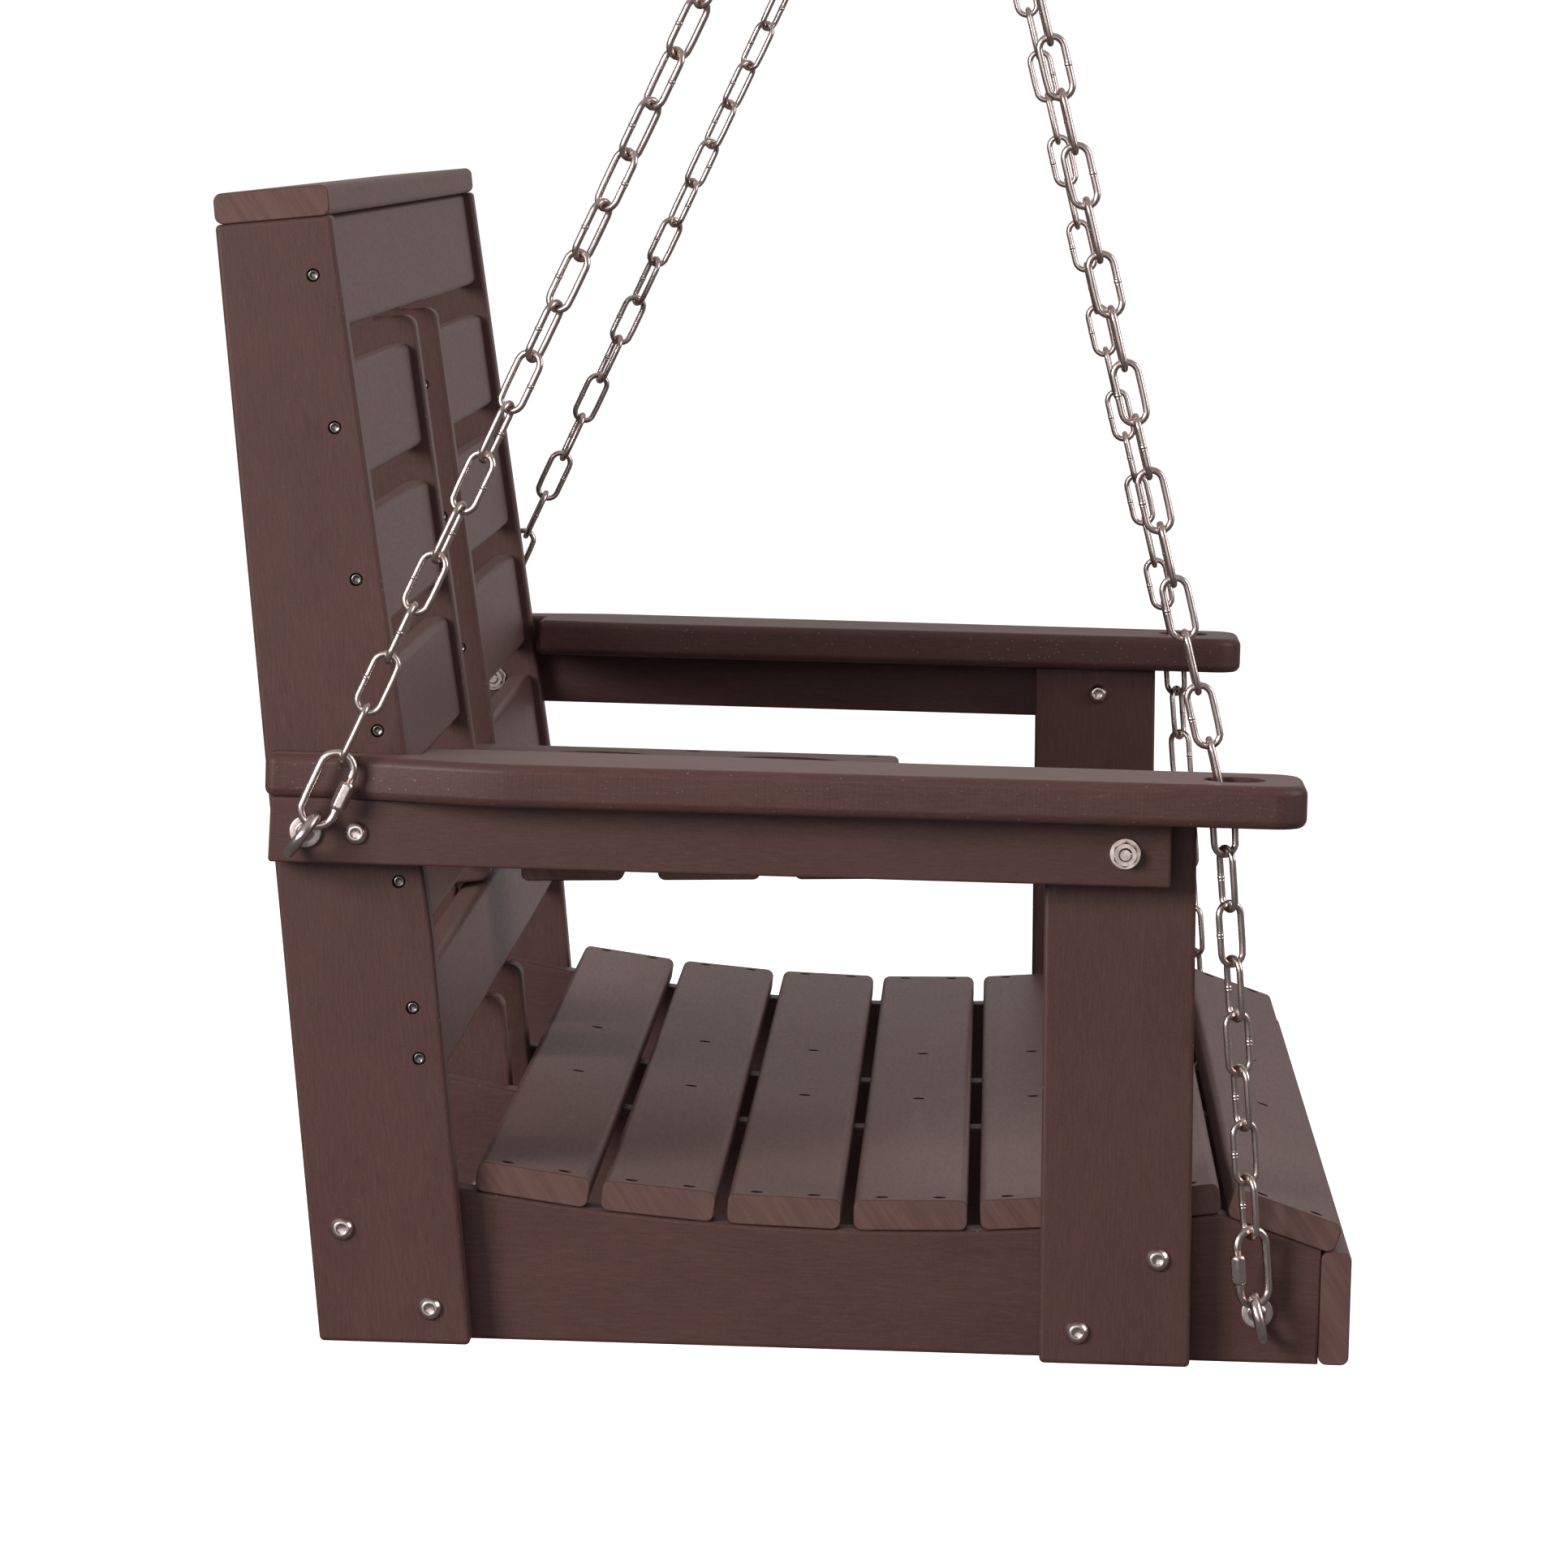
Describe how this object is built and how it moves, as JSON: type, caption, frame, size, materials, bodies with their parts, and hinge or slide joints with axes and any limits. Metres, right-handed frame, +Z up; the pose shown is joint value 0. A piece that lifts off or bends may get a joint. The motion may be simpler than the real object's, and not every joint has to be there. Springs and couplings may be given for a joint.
{
  "type": "porch swing",
  "caption": "Two-seat plank porch swing with a slatted seat and back, wide arms, a fold-down cup console and chains to ceiling hooks.",
  "frame": {"origin": "middle of the ground plane under the seat frame, at the centre of the overall width and depth", "axes": "+X to the right seen from the front, the front of the seat faces -Y, +Z up"},
  "size_m": [1.3486, 0.6802, 1.1559],
  "materials": {
    "board": "brushed grain, matte",
    "chain_steel": "polished",
    "hardware_steel": "bright"
  },
  "bodies": {
    "hooks": {"ceiling_hook_left": "hardware_steel", "ceiling_hook_right": "hardware_steel"},
    "swing": {"rear_leg_left": "board", "back_divider_left": "board", "side_rail_left": "board", "middle_rail_left": "board", "front_post_left": "board", "arm_left": "board", "arm_rail_left": "board", "chain_rear_left": "chain_steel", "chain_front_left": "chain_steel", "hanging_ring_left": "hardware_steel", "back_slat_left_1": "board", "back_slat_left_2": "board", "back_slat_left_3": "board", "back_slat_left_4": "board", "rear_leg_right": "board", "back_divider_right": "board", "side_rail_right": "board", "middle_rail_right": "board", "front_post_right": "board", "arm_right": "board", "arm_rail_right": "board", "chain_rear_right": "chain_steel", "chain_front_right": "chain_steel", "hanging_ring_right": "hardware_steel", "back_slat_right_1": "board", "back_slat_right_2": "board", "back_slat_right_3": "board", "back_slat_right_4": "board", "seat_slat_1": "board", "seat_slat_2": "board", "seat_slat_3": "board", "seat_slat_4": "board", "seat_slat_5": "board", "seat_slat_6": "board", "seat_slat_7": "board", "cap_rail": "board", "back_slat_top": "board", "back_slat_bottom": "board", "front_apron": "board", "console_pivot_bolts": "hardware_steel", "eye_bolts": "hardware_steel", "eye_bolt_nuts": "hardware_steel", "quick_links": "chain_steel", "quick_link_nuts": "chain_steel", "frame_bolts": "hardware_steel", "frame_washers": "hardware_steel", "frame_nuts": "hardware_steel", "back_screws": "hardware_steel", "seat_screws": "hardware_steel", "arm_screws": "hardware_steel"},
    "console": {"console_side_left": "board", "console_side_right": "board", "console_slat_1": "board", "console_slat_2": "board", "console_slat_3": "board", "console_slat_4": "board", "console_top": "board", "console_screws": "hardware_steel"}
  },
  "joints": [
    {"name": "swing_hinge", "type": "hinge", "parent": "hooks", "child": "swing", "pos_m": [0, -0.06443, 1.07894], "axis": [1, 0, 0], "range_deg": [-25, 25]},
    {"name": "console_fold", "type": "hinge", "parent": "swing", "child": "console", "pos_m": [0, 0.25104, 0.25655], "axis": [-1, 0, 0], "range_deg": [0, 97.33]}
  ]
}
